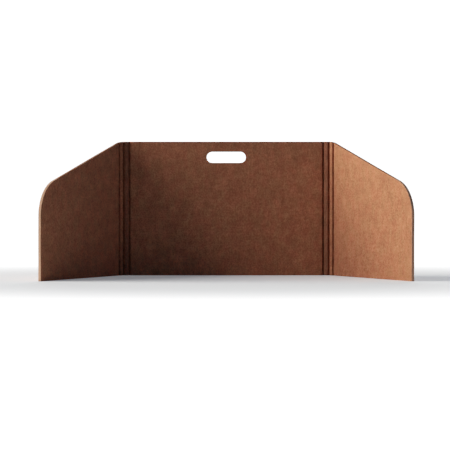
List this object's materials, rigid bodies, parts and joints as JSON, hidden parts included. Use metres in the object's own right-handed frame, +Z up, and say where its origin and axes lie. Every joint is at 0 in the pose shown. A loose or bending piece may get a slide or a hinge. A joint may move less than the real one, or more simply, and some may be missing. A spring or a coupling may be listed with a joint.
{
  "type": "study carrel",
  "caption": "Folding table-top study carrel of grooved felt: a back panel with a hand hole and two sloped wings that fold flat.",
  "frame": {"origin": "middle of the footprint as it stands, on the table top", "axes": "+Z up; +X along the back panel to the seated reader's right; +Y away from the reader, so the wings reach towards -Y"},
  "size_m": [1.0716, 0.4118, 0.4],
  "materials": {
    "felt": "matt brown needle felt with a fine light and dark fleck",
    "pressed_felt": "the same felt, pressed thin and darker at the folds"
  },
  "bodies": {
    "back": {"back_panel": "felt", "left_inner_web": "pressed_felt", "right_inner_web": "pressed_felt"},
    "left_inner_strip": {"left_inner_strip": "felt", "left_middle_web": "pressed_felt"},
    "left_outer_strip": {"left_outer_strip": "felt", "left_outer_web": "pressed_felt"},
    "left_wing": {"left_wing": "felt"},
    "right_inner_strip": {"right_inner_strip": "felt", "right_middle_web": "pressed_felt"},
    "right_outer_strip": {"right_outer_strip": "felt", "right_outer_web": "pressed_felt"},
    "right_wing": {"right_wing": "felt"}
  },
  "joints": [
    {"name": "left_inner_fold", "type": "hinge", "parent": "back", "child": "left_inner_strip", "pos_m": [-0.2913, 0.20517, 0], "axis": [0, 0, 1], "range_deg": [-20.5, 40.15], "deforming": ["left_inner_web"]},
    {"name": "left_middle_fold", "type": "hinge", "parent": "left_inner_strip", "child": "left_outer_strip", "pos_m": [-0.31003, 0.19816, 0], "axis": [0, 0, 1], "range_deg": [-20.5, 40.15], "deforming": ["left_middle_web"]},
    {"name": "left_outer_fold", "type": "hinge", "parent": "left_outer_strip", "child": "left_wing", "pos_m": [-0.32513, 0.18504, 0], "axis": [0, 0, 1], "range_deg": [-20.5, 40.15], "deforming": ["left_outer_web"]},
    {"name": "right_inner_fold", "type": "hinge", "parent": "back", "child": "right_inner_strip", "pos_m": [0.2913, 0.20517, 0], "axis": [0, 0, -1], "range_deg": [-20.5, 39.15], "deforming": ["right_inner_web"]},
    {"name": "right_middle_fold", "type": "hinge", "parent": "right_inner_strip", "child": "right_outer_strip", "pos_m": [0.31003, 0.19816, 0], "axis": [0, 0, -1], "range_deg": [-20.5, 39.15], "deforming": ["right_middle_web"]},
    {"name": "right_outer_fold", "type": "hinge", "parent": "right_outer_strip", "child": "right_wing", "pos_m": [0.32513, 0.18504, 0], "axis": [0, 0, -1], "range_deg": [-20.5, 39.15], "deforming": ["right_outer_web"]}
  ],
  "couplings": [
    {"joint": "left_middle_fold", "follows": "left_inner_fold", "ratio": 1},
    {"joint": "left_outer_fold", "follows": "left_inner_fold", "ratio": 1},
    {"joint": "right_middle_fold", "follows": "right_inner_fold", "ratio": 1},
    {"joint": "right_outer_fold", "follows": "right_inner_fold", "ratio": 1}
  ]
}
